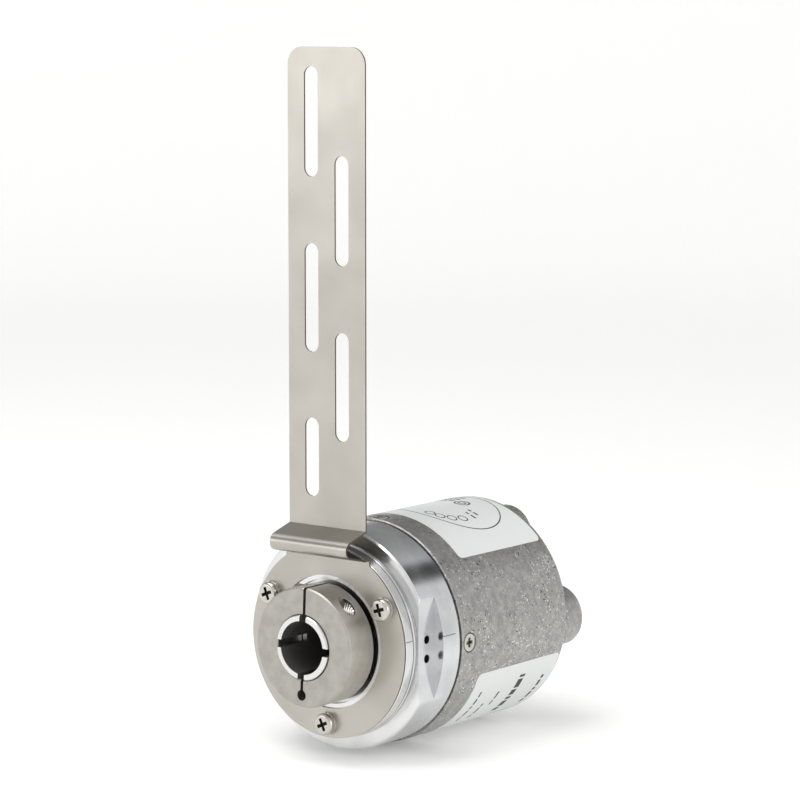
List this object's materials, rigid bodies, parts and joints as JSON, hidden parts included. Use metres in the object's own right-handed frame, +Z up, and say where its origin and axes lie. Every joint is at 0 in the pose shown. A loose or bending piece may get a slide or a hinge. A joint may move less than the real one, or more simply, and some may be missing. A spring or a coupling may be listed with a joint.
{
  "type": "rotary encoder",
  "caption": "Absolute rotary encoder with a blind hollow shaft and clamp ring, a folded slotted torque arm and round connectors on its rear.",
  "frame": {"origin": "centre of the hollow shaft's front mouth", "axes": "-Y points out of the hollow shaft, +Y towards the housing and its connectors, +Z up along the torque arm, +X to the right seen from the shaft side"},
  "size_m": [0.06, 0.088, 0.1837],
  "materials": {
    "turned_steel": "finely turned stainless steel",
    "blasted_steel": "bead-blasted steel",
    "spring_sheet": "rolled stainless spring sheet, satin",
    "turned_aluminium": "bright turned aluminium",
    "cast_aluminium": "as-cast aluminium, mottled",
    "nickel_screw": "bright nickel plate",
    "bearing_steel": "ground bearing steel",
    "seal_rubber": "matt nitrile rubber",
    "nickel_brass": "nickel-plated brass",
    "gold_contact": "gold-plated contacts",
    "black_plastic": "moulded black plastic",
    "grey_plastic": "moulded light grey plastic",
    "window_plastic": "milky moulded light guide",
    "circuit_board": "glass-fibre board with green resist",
    "disc_glass": "clear glass with a code track",
    "magnet_metal": "nickel-plated magnet"
  },
  "bodies": {
    "stator": {"flange": "turned_aluminium", "torque_arm": "spring_sheet", "housing_seal": "seal_rubber", "shaft_seal": "seal_rubber", "outer_spacer": "turned_steel", "bore_retaining_ring": "bearing_steel", "outer_ring_front": "bearing_steel", "outer_ring_rear": "bearing_steel", "light_source": "black_plastic", "light_sensor": "black_plastic", "scan_board": "circuit_board", "gear_plate": "black_plastic", "counter_board": "circuit_board", "main_board": "circuit_board", "board_link": "black_plastic", "housing": "cast_aluminium", "power_nipple": "nickel_brass", "power_insert": "black_plastic", "power_pins": "gold_contact", "status_window": "window_plastic", "setting_plug": "black_plastic", "port_insert_1": "black_plastic", "port_insert_2": "black_plastic", "plate_screw_1": "nickel_screw", "spring_washer_1": "nickel_screw", "board_post_1": "nickel_brass", "plate_screw_2": "nickel_screw", "spring_washer_2": "nickel_screw", "board_post_2": "nickel_brass", "plate_screw_3": "nickel_screw", "spring_washer_3": "nickel_screw", "board_post_3": "nickel_brass", "housing_screw_1": "nickel_screw", "housing_screw_2": "nickel_screw", "housing_screw_3": "nickel_screw", "housing_screw_4": "nickel_screw"},
    "rotor": {"hollow_shaft": "turned_steel", "clamp_ring": "blasted_steel", "clamp_screw": "blasted_steel", "inner_ring_front": "bearing_steel", "inner_ring_rear": "bearing_steel", "inner_spacer": "turned_steel", "shaft_collar": "turned_steel", "disc_hub": "turned_aluminium", "code_disc": "disc_glass", "drive_pinion": "grey_plastic"},
    "balls_front": {"ball_cage_front": "bearing_steel"},
    "balls_rear": {"ball_cage_rear": "bearing_steel"},
    "wheel_1": {"counter_wheel_1": "grey_plastic", "magnet_1": "magnet_metal"},
    "wheel_2": {"counter_wheel_2": "grey_plastic", "magnet_2": "magnet_metal"},
    "wheel_3": {"counter_wheel_3": "grey_plastic", "magnet_3": "magnet_metal"}
  },
  "joints": [
    {"name": "rotor_spin", "type": "hinge", "parent": "stator", "child": "rotor", "pos_m": [0, 0, 0], "axis": [0, 1, 0], "continuous": true},
    {"name": "balls_front_spin", "type": "hinge", "parent": "stator", "child": "balls_front", "pos_m": [0, 0.02, 0], "axis": [0, 1, 0], "continuous": true},
    {"name": "balls_rear_spin", "type": "hinge", "parent": "stator", "child": "balls_rear", "pos_m": [0, 0.031, 0], "axis": [0, 1, 0], "continuous": true},
    {"name": "wheel_1_spin", "type": "hinge", "parent": "stator", "child": "wheel_1", "pos_m": [0, 0.0557, 0.0126], "axis": [0, 1, 0], "continuous": true},
    {"name": "wheel_2_spin", "type": "hinge", "parent": "stator", "child": "wheel_2", "pos_m": [-0.0126, 0.0557, 0.0126], "axis": [0, 1, 0], "continuous": true},
    {"name": "wheel_3_spin", "type": "hinge", "parent": "stator", "child": "wheel_3", "pos_m": [-0.0126, 0.0557, 0], "axis": [0, 1, 0], "continuous": true}
  ],
  "couplings": [
    {"joint": "balls_front_spin", "follows": "rotor_spin", "ratio": 0.44},
    {"joint": "balls_rear_spin", "follows": "rotor_spin", "ratio": 0.44},
    {"joint": "wheel_1_spin", "follows": "rotor_spin", "ratio": -0.5},
    {"joint": "wheel_2_spin", "follows": "rotor_spin", "ratio": 0.25},
    {"joint": "wheel_3_spin", "follows": "rotor_spin", "ratio": -0.125}
  ]
}
